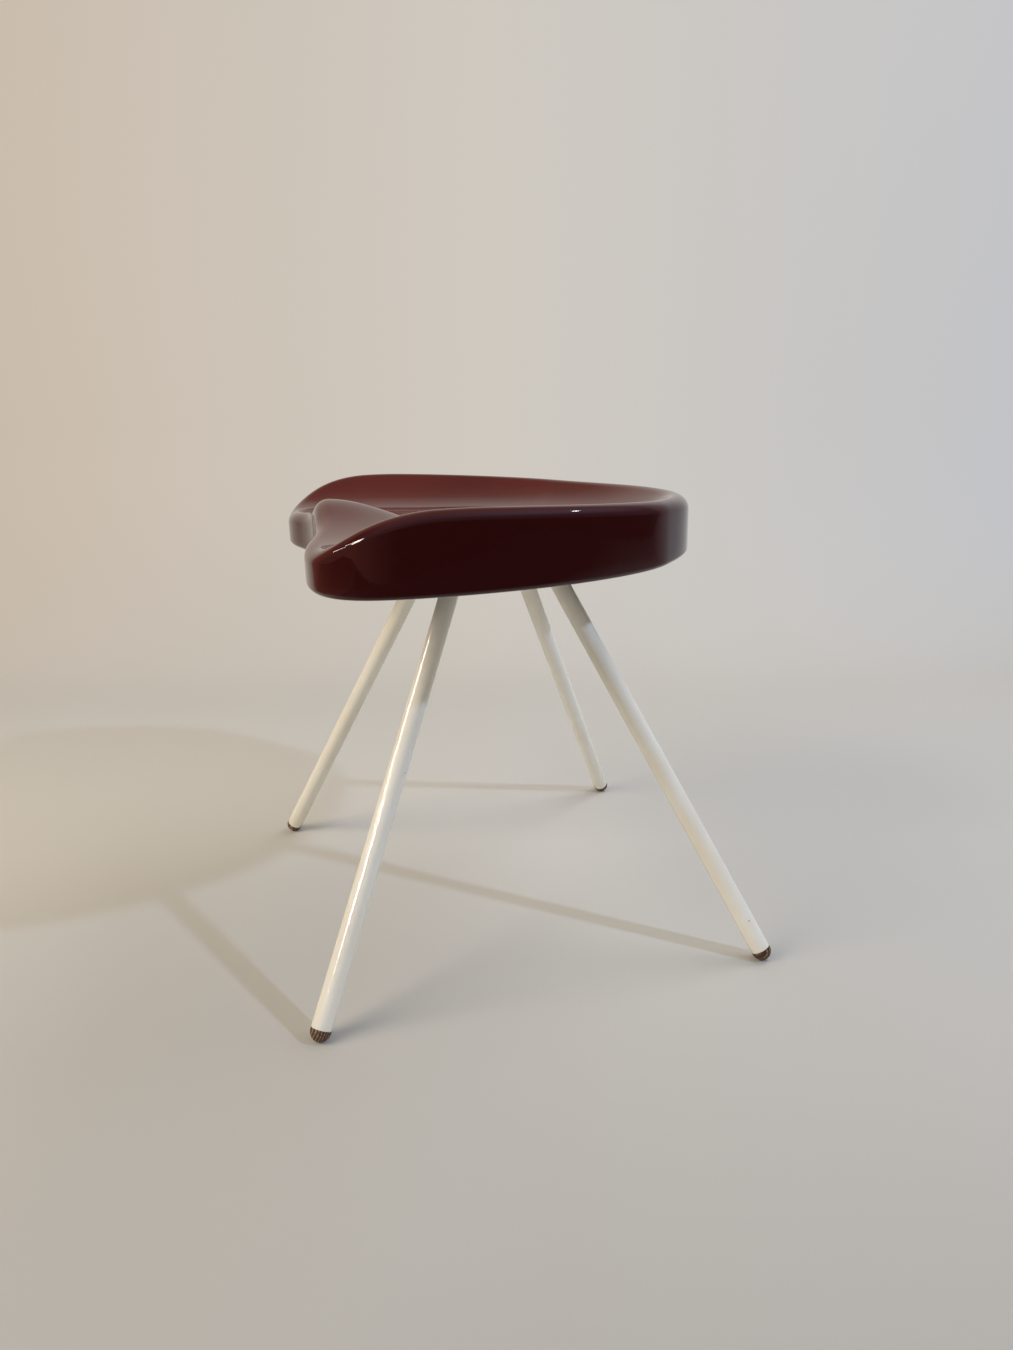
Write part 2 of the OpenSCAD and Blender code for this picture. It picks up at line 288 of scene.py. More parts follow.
lacquerLook = {
    "skirtShade": (0.030, 0.0036, 0.0034),  # painted shade: the sides are painted darker, and the sitting surface is paler
    "deep": (0.065, 0.0054, 0.0048),
    "light": (0.086, 0.0078, 0.0067),
    "raw": (0.024, 0.0085, 0.0080),  # the unpolished inside of the moulding
    "clouds": (0.35, 0.65),  # where the slow clouds turn from deep to light
    "gloss": (0.015, 0.035),
    "glossClouds": (0.3, 0.7),
    "rawRoughness": 0.62,
    "skin": {"Ripple Scale": 300.0, "Ripple Depth": 0.010, "Wave Scale": 14.0, "Wave Depth": 0.012,
             "Cloud Scale": 7.0},
}


def makeLacquer(look):
    material, tree, shader = startMaterial("seatLacquer")
    inside = addNode(tree, "ShaderNodeAttribute", attribute_name="inside").outputs["Fac"]
    skin = placeGroup(tree, sprayedSkin, {"Vector": objectPlace(tree), **look["skin"]})
    colour = colourRamp(tree, skin["Cloud"], zip(look["clouds"], (look["deep"], look["light"])))
    gloss = spread(tree, skin["Cloud"], *look["glossClouds"], *look["gloss"])
    rough = addNode(tree, "ShaderNodeMix", {0: inside, 2: gloss, 3: look["rawRoughness"]}).outputs[0]
    # painted shade: the sides past the edge take the darker skirt colour
    side = addNode(tree, "ShaderNodeAttribute", attribute_name="skirtShade").outputs["Fac"]
    colour = blendColour(tree, side, colour, look["skirtShade"])
    finishShader(tree, shader, blendColour(tree, inside, colour, look["raw"]), rough, skin["Normal"])
    return material


enamelLook = {
    "clean": (0.845, 0.821, 0.733),
    "aged": (0.808, 0.764, 0.648),
    "chip": (0.200, 0.150, 0.110),
    "clouds": (0.3, 0.6),  # where the slow clouds turn from aged to clean
    "gloss": (0.18, 0.10),
    "glossClouds": (0.3, 0.7),
    "skin": {"Ripple Scale": 350.0, "Ripple Depth": 0.10, "Wave Scale": 160.0, "Wave Depth": 0.03,
             "Cloud Scale": 16.0, "Speck Scale": 55.0, "Speck Size": 0.035},
}


def makeEnamel(look):
    material, tree, shader = startMaterial("ivoryEnamel")
    skin = placeGroup(tree, sprayedSkin, {"Vector": objectPlace(tree), **look["skin"]})
    colour = colourRamp(tree, skin["Cloud"], zip(look["clouds"], (look["aged"], look["clean"])))
    rough = spread(tree, skin["Cloud"], *look["glossClouds"], *look["gloss"])
    chipped = blendColour(tree, skin["Speck"], colour, look["chip"])
    finishShader(tree, shader, chipped, rough, skin["Normal"])
    return material


woodLook = {
    "dark": (0.050, 0.024, 0.011),
    "middle": (0.130, 0.068, 0.034),
    "light": (0.400, 0.235, 0.130),
    "pore": (0.018, 0.010, 0.006),
    "tones": (0.10, 0.30, 0.60),  # where a ring turns dark, middle and light
    "roughness": (0.72, 0.50),
    "rings": {"Ring Width": 0.0024, "Dirt": 0.7},
    "relief": {"Strength": 0.5, "Distance": 0.00015},
    "nextFoot": (0.002, -0.003, 0.04),  # each foot is cut from the wood this much further on
}


def makeWood(look):
    material, tree, shader = startMaterial("footWood")
    grain = addNode(tree, "ShaderNodeAttribute", attribute_name="grain").outputs["Vector"]
    wood = placeGroup(tree, turnedWood, {"Vector": grain, **look["rings"]})
    tone = colourRamp(tree, wood["Tone"], zip(look["tones"], (look["dark"], look["middle"], look["light"])))
    rough = spread(tree, wood["Tone"], 0.0, 1.0, *look["roughness"])
    bump = addNode(tree, "ShaderNodeBump", {"Height": wood["Height"], **look["relief"]})
    colour = blendColour(tree, wood["Pore"], tone, look["pore"])
    finishShader(tree, shader, colour, rough, bump.outputs["Normal"])
    return material


fittingSkin = {
    "skin": {"Ripple Scale": 1400.0, "Wave Scale": 200.0, "Wave Depth": 0.005, "Cloud Scale": 90.0},
    "clouds": (0.35, 0.6),  # where the slow clouds turn from worn to clean
    "roughness": (1.3, 0.85),  # of the fitting's own, worn and clean
    "roughClouds": (0.3, 0.7),
}
fittingLooks = {
    "bossPlastic": {"colour": (0.040, 0.037, 0.035), "worn": (0.060, 0.056, 0.052), "rough": 0.55,
                    "metal": 0.0, "ripple": 0.10},
    "insertBrass": {"colour": (0.66, 0.47, 0.20), "worn": (0.42, 0.27, 0.10), "rough": 0.35,
                    "metal": 1.0, "ripple": 0.04},
    "screwZinc": {"colour": (0.58, 0.60, 0.63), "worn": (0.40, 0.40, 0.40), "rough": 0.30,
                  "metal": 1.0, "ripple": 0.05},
}


def makeFitting(name, look, shared):
    material, tree, shader = startMaterial(name)
    skin = placeGroup(tree, sprayedSkin, {
        "Vector": objectPlace(tree), "Ripple Depth": look["ripple"], **shared["skin"]})
    colour = colourRamp(tree, skin["Cloud"], zip(shared["clouds"], (look["worn"], look["colour"])))
    ends = [look["rough"] * share for share in shared["roughness"]]
    rough = spread(tree, skin["Cloud"], *shared["roughClouds"], *ends)
    shader.inputs["Metallic"].default_value = look["metal"]
    finishShader(tree, shader, colour, rough, skin["Normal"])
    return material


seatLacquer = makeLacquer(lacquerLook)
ivoryEnamel = makeEnamel(enamelLook)
footWood = makeWood(woodLook)
fittings = {name: makeFitting(name, look, fittingSkin) for name, look in fittingLooks.items()}
print("materials made")


# The seat shell. It follows the same rule as the solid in the frame, with finer steps, a small
# round on the inner lip and a smooth skin. Lengths here are millimetres.
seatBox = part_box("seat_shell")
seatShape = {
    "width": (seatBox[1].x - seatBox[0].x) / mm,
    "tipY": seatBox[0].y / mm,
    "backY": seatBox[1].y / mm,
    "low": seatBox[0].z / mm,
    "tipSpan": 292,
    "notchDepth": 19,
    "widestBack": 95,
    "shoulderWidth": 314,
    "shoulderBack": 322,
    "shoulderAngle": 42,
    "notchPull": 80,
    "tipInnerPull": 54,
    "tipOuterPull": 76,
    "sideFrontPull": 65,
    "sideBackPull": 97,
    "shoulderFrontPull": 59,
    "shoulderBackPull": 53,
    "backPull": 73,
    "sideHeight": 67,
    "backHeight": 55.5,
    "frontHeight": 32,
    "panHeight": 29,
    "panLevel": 0.55,
    "panClimb": 2.5,
    "panBack": 201,
    "rimPeak": 2.12,
    "rimRise": 2.1,
    "rimCrown": 2.55,
    "rimFall": 1.3,
    "rimTail": 3.2,
    "ridgeHeight": 27,
    "ridgeWidth": 65,
    "ridgeFade": 1.3,
    "ridgeCrestBack": 41,
    "ridgeEndBack": 156,
    "wall": 5.5,
    "sideEdge": 9,
    "tipEdge": 13,
    "notchEdge": 16,
    "backEdge": 15,
    "lowEdge": 4,
    "innerLip": 1.2,
    "padShare": 0.42,
    "padBlend": 0.1,
    "stretchSteps": 40,
    "panRows": 44,
    "underRows": 24,
    "edgeSteps": 16,
    "wallRows": 5,
    "cornerSteps": 7,
    "lipSteps": 3,
    "innerRows": (2.5, 8),  # how far above the lower edge two rows run inside the wall
}
# Stations round half of the outline: the notch is at 0, and the shoulder at 3
tipAt = 1
widestAt = 2
backAt = 4


def bezier(p, t):
    a, b, c, d = (Vector(q) for q in p)
    return (1 - t) ** 3 * a + 3 * (1 - t) ** 2 * t * b + 3 * (1 - t) * t ** 2 * c + t ** 3 * d


def seatOutline(s):
    # Half of the outline is four Bezier stretches: notch, tip, widest, shoulder, back
    tip = Vector((s["tipSpan"] / 2, s["tipY"]))
    widest = Vector((s["width"] / 2, s["tipY"] + s["widestBack"]))
    shoulder = Vector((s["shoulderWidth"] / 2, s["tipY"] + s["shoulderBack"]))
    turn = math.radians(s["shoulderAngle"])
    way = Vector((math.cos(turn), -math.sin(turn)))
    notchY = s["tipY"] + s["notchDepth"]
    stretches = [
        [(0, notchY), (s["notchPull"], notchY), tip - Vector((s["tipInnerPull"], 0)), tip],
        [tip, tip + Vector((s["tipOuterPull"], 0)), widest - Vector((0, s["sideFrontPull"])), widest],
        [widest, widest + Vector((0, s["sideBackPull"])), shoulder + s["shoulderFrontPull"] * way,
         shoulder],
        [shoulder, shoulder - s["shoulderBackPull"] * way, (s["backPull"], s["backY"]), (0, s["backY"])],
    ]
    halfSteps = s["stretchSteps"] * len(stretches)
    count = 2 * halfSteps
    stations = [min(i, count - i) / s["stretchSteps"] for i in range(count)]
    points = []
    for i, u in enumerate(stations):
        k = min(int(u), len(stretches) - 1)
        p = bezier(stretches[k], u - k)
        points.append(p if i <= halfSteps else Vector((-p.x, p.y)))
    return stations, points


def makeSeatShell(s):
    stations, outline = seatOutline(s)
    count = len(outline)
    outward = []
    for i in range(count):
        along = (outline[(i + 1) % count] - outline[i - 1]).normalized()
        outward.append(Vector((along.y, -along.x)))

    def swell(t, start, end):
        return 1 - (1 - t ** start) ** end

    def rimHeight(u):
        peak = s["rimPeak"]
        if u < tipAt:
            return s["frontHeight"]
        if u < peak:
            share = swell((u - tipAt) / (peak - tipAt), s["rimRise"], s["rimCrown"])
            return mix(s["frontHeight"], s["sideHeight"], share)
        share = swell((u - peak) / (backAt - peak), s["rimFall"], s["rimTail"])
        return mix(s["sideHeight"], s["backHeight"], share)

    def edgeRadius(u):
        if u < tipAt:
            return mix(s["notchEdge"], s["tipEdge"], ease(u / tipAt))
        if u < widestAt:
            return mix(s["tipEdge"], s["sideEdge"], ease((u - tipAt) / (widestAt - tipAt)))
        return mix(s["sideEdge"], s["backEdge"], ease((u - widestAt) / (backAt - widestAt)))

    def ridge(p):
        along = (s["tipY"] + s["ridgeEndBack"] - p.y) / (s["ridgeEndBack"] - s["ridgeCrestBack"])
        return s["ridgeHeight"] * ease(along) * (1 / (1 + (p.x / s["ridgeWidth"]) ** 2)) ** s["ridgeFade"]

    middle = Vector((0, s["tipY"] + s["panBack"]))
    panZ = s["low"] + s["panHeight"]
    padZ = panZ - s["wall"]
    edges = [edgeRadius(u) for u in stations]
    rims = [rimHeight(u) for u in stations]
    crest = [outline[i] - edges[i] * outward[i] for i in range(count)]
    crestZ = [s["low"] + rims[i] + ridge(crest[i]) for i in range(count)]
    # the round of the edge runs on past the crest until the pan's side meets it
    reach = 1 - s["panLevel"]
    tilts = [math.atan(s["panClimb"] * (rims[i] - s["panHeight"]) / (reach * (crest[i] - middle).length))
             for i in range(count)]
    rim = [crest[i] - edges[i] * math.sin(tilts[i]) * outward[i] for i in range(count)]
    sideHigh = [crestZ[i] - edges[i] * (1 - math.cos(tilts[i])) - ridge(rim[i]) - panZ
                for i in range(count)]

    def climb(share):
        return max(0, (share - s["panLevel"]) / reach)

    def panTop(i, share):
        p = mix(middle, rim[i], share)
        return Vector((p.x, p.y, panZ + sideHigh[i] * climb(share) ** s["panClimb"] + ridge(p)))

    def panUnder(i, share):
        tilt = tilts[i] * climb(share) ** (s["panClimb"] - 1)
        p = panTop(i, share)
        shift = s["wall"] * math.sin(tilt) * outward[i]
        under = p.z - s["wall"] * math.cos(tilt)
        low = mix(padZ, under, ease((share - s["padShare"]) / s["padBlend"]))
        return Vector((p.x + shift.x, p.y + shift.y, low))

    def edgeRound(i, inset, share):
        angle = share * (math.pi / 2 + tilts[i])
        r = edges[i] - inset
        p = outline[i] - (edges[i] - r * math.cos(angle)) * outward[i]
        return Vector((p.x, p.y, crestZ[i] - edges[i] + r * math.sin(angle)))

    def wallPoint(i, inset, z):
        p = outline[i] - inset * outward[i]
        return Vector((p.x, p.y, z))

    def ring(point, *values):
        return [point(i, *values) for i in range(count)]

    # The rows run from the pan over the edge and down the wall, round the lip and back under the pan
    quarter = math.pi / 2
    panRows, underRows, edgeSteps = s["panRows"], s["underRows"], s["edgeSteps"]
    corner, lip, wall = s["lowEdge"], s["innerLip"], s["wall"]
    wallTop = [crestZ[i] - edges[i] for i in range(count)]
    rows = [ring(panTop, k / panRows) for k in range(1, panRows + 1)]
    rows += [ring(edgeRound, 0, 1 - k / edgeSteps) for k in range(1, edgeSteps + 1)]
    for k in range(1, s["wallRows"]):
        share = k / s["wallRows"]
        rows.append([wallPoint(i, 0, mix(wallTop[i], s["low"] + corner, share)) for i in range(count)])
    for k in range(s["cornerSteps"] + 1):
        a = quarter * k / s["cornerSteps"]
        rows.append(ring(wallPoint, corner * (1 - math.cos(a)), s["low"] + corner * (1 - math.sin(a))))
    outerRows = len(rows)
    for k in range(s["lipSteps"] + 1):
        a = quarter * k / s["lipSteps"]
        rows.append(ring(wallPoint, wall - lip * (1 - math.sin(a)), s["low"] + lip * (1 - math.cos(a))))
    rows += [ring(wallPoint, wall, s["low"] + above) for above in s["innerRows"]]
    rows += [ring(edgeRound, wall, k / edgeSteps) for k in range(edgeSteps + 1)]
    rows += [ring(panUnder, 1 - k / underRows) for k in range(1, underRows)]

    verts = [p for row in rows for p in row]
    verts.append(panTop(0, 0))
    verts.append(panUnder(0, 0))
    faces = [(len(verts) - 2, i, (i + 1) % count) for i in range(count)]
    for k in range(len(rows) - 1):
        for i in range(count):
            a, b = k * count + i, k * count + (i + 1) % count
            faces.append((a, a + count, b + count, b))
    last = (len(rows) - 1) * count
    faces += [(len(verts) - 1, last + (i + 1) % count, last + i) for i in range(count)]
    seat = addMesh("seatShell", [v * mm for v in verts], faces)
    # two marks for the finish, the raw inside and the painted shade on the sides, each 0 at the pan's
    # middle, which is the last point but one
    marks = {"inside": [1.0 if k >= outerRows * count else 0.0 for k in range(len(verts))],
             "skirtShade": [ease((k // count - panRows) / edgeSteps) for k in range(len(verts))]}
    for name, shares in marks.items():
        shares[-2] = 0.0
        seat.data.attributes.new(name, "FLOAT", "POINT").data.foreach_set("value", shares)
    return seat


seatShell = makeSeatShell(seatShape)
dress(seatShell, seatLacquer, "seat_lacquer", "seat_shell")
print("seat shell made,", len(seatShell.data.polygons), "faces")


# Geometry Nodes: a tree is built once, and run with its own inputs for each piece

def runTree(name, tree, values):
    made = bpy.data.objects.new(name, bpy.data.meshes.new(name))
    bpy.context.scene.collection.objects.link(made)
    modifier = made.modifiers.new(name, "NODES")
    modifier.node_group = tree
    for item in tree.interface.items_tree:
        if item.in_out == "INPUT" and item.name in values:
            modifier[item.identifier] = values[item.name]
    evaluated = made.evaluated_get(bpy.context.evaluated_depsgraph_get())
    mesh = bpy.data.meshes.new_from_object(evaluated)
    made.modifiers.remove(modifier)
    made.data = mesh
    return made


def finishTree(tree, given, out, geometry):
    # The leg's own frame, with Z along its axis, becomes the object's frame
    placed = addNode(tree, "GeometryNodeTransform", {
        "Geometry": geometry, "Translation": given["Place"], "Rotation": given["Turn"]}).outputs["Geometry"]
    smooth = addNode(tree, "GeometryNodeSetShadeSmooth", {"Geometry": placed}).outputs["Geometry"]
    real = addNode(tree, "GeometryNodeRealizeInstances", {"Geometry": smooth}).outputs["Geometry"]
    finished = addNode(tree, "GeometryNodeSetMaterial", {"Geometry": real, "Material": given["Material"]})
    tree.links.new(finished.outputs["Geometry"], out["Geometry"])


legFrameInputs = [("Cut Slope", "Vector", None), ("Place", "Vector", None), ("Turn", "Vector", None),
                  ("Material", "Material", None)]


def makeTubeTree():
    # The wall's section, with rounded lips, is swept round the leg's axis like a turned part
    tree, given, out = newTree(
        "legTube", "GeometryNodeTree",
        [("Length", "Float", 0.4), ("Start", "Float", 0.002), ("Radius", "Float", 0.009),
         ("Wall", "Float", 0.0015), ("Lip", "Float", 0.0004), ("Sides", "Int", 72),
         ("Step", "Float", 0.006), ("Unevenness", "Float", 0.00002), ("Paint Scale", "Float", 220.0),
         ("Cut Sharpness", "Float", 8.0)] + legFrameInputs,
        [("Geometry", "Geometry")],
    )
    pathRadius = number(tree, "SUBTRACT", given["Radius"], number(tree, "MULTIPLY", given["Wall"], 0.5))
    path = addNode(tree, "GeometryNodeCurvePrimitiveCircle", {
        "Resolution": given["Sides"], "Radius": pathRadius}).outputs["Curve"]
    section = addNode(tree, "GeometryNodeCurvePrimitiveQuadrilateral", {
        "Width": given["Wall"], "Height": given["Length"]}).outputs["Curve"]
    rounded = addNode(tree, "GeometryNodeFilletCurve", {
        "Curve": section, "Radius": given["Lip"], "Count": 3}, mode="POLY").outputs["Curve"]
    # the long sides are cut every Step, and the short ones not at all
    here = addNode(tree, "GeometryNodeInputPosition").outputs["Position"]
    following = number(tree, "ADD", addNode(tree, "GeometryNodeInputIndex").outputs["Index"], 1.0)
    nextPlace = addNode(tree, "GeometryNodeFieldAtIndex", {"Index": following, "Value": here},
                        data_type="FLOAT_VECTOR").outputs["Value"]
    cuts = number(tree, "FLOOR", number(
        tree, "DIVIDE", vector(tree, "DISTANCE", here, nextPlace), given["Step"]))
    divided = addNode(tree, "GeometryNodeSubdivideCurve", {
        "Curve": rounded, "Cuts": cuts}).outputs["Curve"]
    tube = addNode(tree, "GeometryNodeCurveToMesh", {
        "Curve": path, "Profile Curve": divided}).outputs["Mesh"]
    # the top is sheared to lie flat under the plate, and the coat of paint is a little uneven
    height = addNode(tree, "ShaderNodeSeparateXYZ", {0: here}).outputs["Z"]
    half = number(tree, "MULTIPLY", given["Length"], 0.5)
    upper = number(tree, "MAXIMUM", number(tree, "DIVIDE", height, half), 0.0)
    share = number(tree, "POWER", upper, given["Cut Sharpness"])
    drop = number(tree, "MULTIPLY", vector(tree, "DOT_PRODUCT", here, given["Cut Slope"]), share)
    down = number(tree, "MULTIPLY", drop, -1.0)
    shear = addNode(tree, "ShaderNodeCombineXYZ", {"Z": down}).outputs["Vector"]
    noise = addNode(tree, "ShaderNodeTexNoise", {
        "Vector": here, "Scale": given["Paint Scale"], "Detail": 1.0}).outputs["Fac"]
    build = number(tree, "MULTIPLY", number(tree, "SUBTRACT", noise, 0.5), given["Unevenness"])
    normal = addNode(tree, "GeometryNodeInputNormal").outputs["Normal"]
    paint = vector(tree, "SCALE", normal, scale=build)
    shaped = addNode(tree, "GeometryNodeSetPosition", {
        "Geometry": tube, "Offset": vector(tree, "ADD", shear, paint)}).outputs["Geometry"]
    lift = addNode(tree, "ShaderNodeCombineXYZ", {
        "Z": number(tree, "ADD", half, given["Start"])}).outputs["Vector"]
    lifted = addNode(tree, "GeometryNodeTransform", {
        "Geometry": shaped, "Translation": lift}).outputs["Geometry"]
    finishTree(tree, given, out, lifted)
    return tree


# Shares of the bead's size
weldShape = {
    "ringOut": 0.38,
    "ringDown": 0.45,
    "fillet": 0.40,
    "bead": (0.50, 0.50, 0.34),
    "least": 0.90,
    "most": 1.10,
}


def makeWeldTree(shape):
    # Overlapping beads on a ring round the top of a leg, over a thin fillet that joins them
    tree, given, out = newTree(
        "weldBead", "GeometryNodeTree",
        [("Height", "Float", 0.4), ("Radius", "Float", 0.009), ("Size", "Float", 0.003),
         ("Beads", "Int", 34), ("Seed", "Int", 1)] + legFrameInputs,
        [("Geometry", "Geometry")],
    )
    size = given["Size"]
    ringRadius = number(tree, "ADD", given["Radius"], number(tree, "MULTIPLY", size, shape["ringOut"]))
    circle = addNode(tree, "GeometryNodeCurvePrimitiveCircle", {
        "Resolution": 96, "Radius": ringRadius}).outputs["Curve"]
    here = addNode(tree, "GeometryNodeInputPosition").outputs["Position"]
    low = number(tree, "SUBTRACT", given["Height"], number(tree, "MULTIPLY", size, shape["ringDown"]))
    level = number(tree, "SUBTRACT", low, vector(tree, "DOT_PRODUCT", here, given["Cut Slope"]))
    lift = addNode(tree, "ShaderNodeCombineXYZ", {"Z": level}).outputs["Vector"]
    ring = addNode(tree, "GeometryNodeSetPosition", {
        "Geometry": circle, "Offset": lift}).outputs["Geometry"]
    section = addNode(tree, "GeometryNodeCurvePrimitiveCircle", {
        "Resolution": 10, "Radius": number(tree, "MULTIPLY", size, shape["fillet"])}).outputs["Curve"]
    fillet = addNode(tree, "GeometryNodeCurveToMesh", {
        "Curve": ring, "Profile Curve": section}).outputs["Mesh"]
    points = addNode(tree, "GeometryNodeCurveToPoints", {"Curve": ring, "Count": given["Beads"]}).outputs
    bead = addNode(tree, "GeometryNodeMeshUVSphere", {
        "Segments": 14, "Rings": 9, "Radius": size}).outputs["Mesh"]
    # sockets 2, 3 and output 1 are the least, the most and the value of a plain number
    vary = addNode(tree, "FunctionNodeRandomValue", {
        2: shape["least"], 3: shape["most"], "Seed": given["Seed"]}).outputs[1]
    scale = vector(tree, "SCALE", shape["bead"], scale=vary)
    beads = addNode(tree, "GeometryNodeInstanceOnPoints", {
        "Points": points["Points"], "Instance": bead, "Rotation": points["Rotation"], "Scale": scale})
    joined = addNode(tree, "GeometryNodeJoinGeometry", {"Geometry": fillet})
    tree.links.new(beads.outputs["Instances"], joined.inputs["Geometry"])
    finishTree(tree, given, out, joined.outputs["Geometry"])
    return tree


legShape = {
    "tube": 18.5 * mm,
    "wall": 1.5 * mm,
    "lip": 0.4 * mm,
    "collar": 1.75 * mm,
    "pegLength": 22 * mm,
    "pegGap": 0.1 * mm,
    "weld": 3 * mm,
    "beads": 36,
    "unevenness": 0.05 * mm,
    "footSides": 56,
    "domeSteps": 16,
    "broken": 0.3 * mm,  # how far the corners of the foot's collar and peg are taken off
    "near": 0.01 * mm,  # points this close to the leg's top or to the floor lie in it
}
tubeTree = makeTubeTree()
weldTree = makeWeldTree(weldShape)


def legFrame(corner, s):
    # The axis runs from the centre of the foot's dome to the middle of the leg's top, under the plate
    top = [v.co for v in nodes["leg_" + corner].data.vertices]
    topZ = max(p.z for p in top)
    rim = [p for p in top if p.z > topZ - s["near"]]
    head = Vector([(min(p[k] for p in rim) + max(p[k] for p in rim)) / 2 for k in range(3)])
    flat = [v.co for v in nodes["foot_" + corner].data.vertices if v.co.z < s["near"]]
    spot = [(min(p[k] for p in flat) + max(p[k] for p in flat)) / 2 for k in range(2)]
    flatRadius = (max(p.x for p in flat) - min(p.x for p in flat)) / 2
    radius = s["tube"] / 2
    foot = Vector((*spot, math.sqrt(radius ** 2 - flatRadius ** 2)))
    axis = head - foot
    turn = axis.to_track_quat("Z", "Y")
    up = turn.inverted() @ Vector((0, 0, 1))
    return {"foot": foot, "length": axis.length, "turn": turn, "slope": (up.x / up.z, up.y / up.z, 0)}


def makeLeg(corner, place, s):
    leg = runTree("leg_" + corner + "_tube", tubeTree, {
        "Length": place["length"] - s["collar"], "Start": s["collar"], "Radius": s["tube"] / 2,
        "Wall": s["wall"], "Lip": s["lip"], "Unevenness": s["unevenness"], "Cut Slope": place["slope"],
        "Place": place["foot"], "Turn": place["turn"].to_euler(), "Material": ivoryEnamel})
    dress(leg, ivoryEnamel, "frame_enamel", "leg_" + corner)
    return leg


def makeWeld(corner, place, s, seed):
    weld = runTree("weld_" + corner + "_bead", weldTree, {
        "Height": place["length"], "Radius": s["tube"] / 2, "Size": s["weld"], "Beads": s["beads"],
        "Seed": seed, "Cut Slope": place["slope"], "Place": place["foot"],
        "Turn": place["turn"].to_euler(), "Material": ivoryEnamel})
    dress(weld, ivoryEnamel, "frame_enamel", "weld_" + corner)


def makeFoot(corner, place, s, shift):
    # A turned dome with a worn flat, a short collar under the tube and the peg inside it
    radius = s["tube"] / 2
    pegRadius = radius - s["wall"] - s["pegGap"]
    collar = s["collar"]
    pegTop = collar + s["pegLength"]
    broken = s["broken"]
    profile = []
    for k in range(s["domeSteps"] + 1):
        a = mix(0, math.pi / 2, k / s["domeSteps"])
        profile.append((radius * math.sin(a), -radius * math.cos(a)))
    profile += [(radius, collar - broken), (radius - broken, collar), (pegRadius, collar)]
    profile += [(pegRadius, pegTop - broken), (pegRadius - broken, pegTop), (0, pegTop)]
    sides = s["footSides"]
    turns = [2 * math.pi * k / sides for k in range(sides)]
    local = [Vector((0, 0, -radius))]
    for r, z in profile[1:-1]:
        local += [Vector((r * math.cos(a), r * math.sin(a), z)) for a in turns]
    local.append(Vector((0, 0, profile[-1][1])))
    rings = len(profile) - 2
    faces = [(0, 1 + (k + 1) % sides, 1 + k) for k in range(sides)]
    for ringIndex in range(rings - 1):
        for k in range(sides):
            a = 1 + ringIndex * sides + k
            b = 1 + ringIndex * sides + (k + 1) % sides
            faces.append((a, b, b + sides, a + sides))
    last = 1 + (rings - 1) * sides
    faces += [(len(local) - 1, last + k, last + (k + 1) % sides) for k in range(sides)]
    verts = [place["turn"] @ p + place["foot"] for p in local]
    for p in verts:
        p.z = max(p.z, 0)
    foot = addMesh("foot_" + corner + "_dome", verts, faces)
    grain = foot.data.attributes.new("grain", "FLOAT_VECTOR", "POINT")
    grain.data.foreach_set("vector", [part for p in local for part in p + shift])
    dress(foot, footWood, "foot_wood", "foot_" + corner)


corners = ("front_left", "front_right", "rear_left", "rear_right")
legs = []
for index, corner in enumerate(corners):
    place = legFrame(corner, legShape)
    legs.append(makeLeg(corner, place, legShape))
    makeWeld(corner, place, legShape, index + 1)
    makeFoot(corner, place, legShape, index * Vector(woodLook["nextFoot"]))
print("legs, welds and feet made")


# Pieces of the frame whose shape is right keep it and get their finish
finishes = {
    "boss": fittings["bossPlastic"],
    "threaded": fittings["insertBrass"],
    "mounting_screws": fittings["screwZinc"],
    "mounting_washers": fittings["screwZinc"],
    "mounting_plate": ivoryEnamel,
}
for name, piece in nodes.items():
    for start, material in finishes.items():
        if name.startswith(start):
            piece.data.materials.clear()
            piece.data.materials.append(material)
print("fittings finished")


# Plain stage: a pale floor that sweeps up into a backdrop behind the stool. The eye and mirrors see the
# backdrop glowing in pale colours, with painted warm light on the left and painted cool light on the right.
stageLook = {
    "floor": (0.590, 0.575, 0.530),
    # the backdrop's glow, with painted warm light on its left and painted cool light on its right
    "wallLeft": (0.540, 0.458, 0.372),
    "wallMiddle": (0.588, 0.550, 0.495),
    "wallRight": (0.518, 0.523, 0.540),
    "wallBase": (0.02, 0.02, 0.02),  # its paint, under the tone that the eye sees
    "wallSpan": 2.4,
    "wallAway": 1.35,
    "wallFade": (0.70, 1.30),  # how far back the floor's look turns into the backdrop's
    "sweep": 0.50,
    "wallHigh": 2.2,
    "halfWide": 3.2,
    "front": 2.5,
    "sweepSteps": 24,
    "mirroredSides": [(-3.2, (0.60, 0.19, 0.15)), (-1.65, (0.55, 0.18, 0.15)), (-1.35, (0.9, 0.88, 0.85)),
                      (-1.0, (1, 1, 1)), (0.80, (1, 1, 1)), (1.0, (0.85, 0.85, 0.86)),
                      (1.3, (0.63, 0.63, 0.65)), (1.7, (0.52, 0.47, 0.50)), (2.5, (0.42, 0.34, 0.36)),
                      (3.2, (0.16, 0.12, 0.13))],
    "mirroredFront": (-0.95, -0.40),
    "mirroredFrontTone": 0.04,
    "mirroredLeft": (-1.65, -1.35),
    "mirroredRise": [(0.0, 1.0), (0.9, 1.0), (1.3, 1.18), (1.6, 1.12), (2.2, 0.80)],
    "riseMost": 2.0,  # a ramp holds nothing over 1, so it holds the rise as shares of this
    "nearShade": 0.75,  # painted shade: the floor's tone is darkened to this share nearest the camera
    "nearShadeFade": (-0.6, 0.1),
    "roughness": 0.65,
}


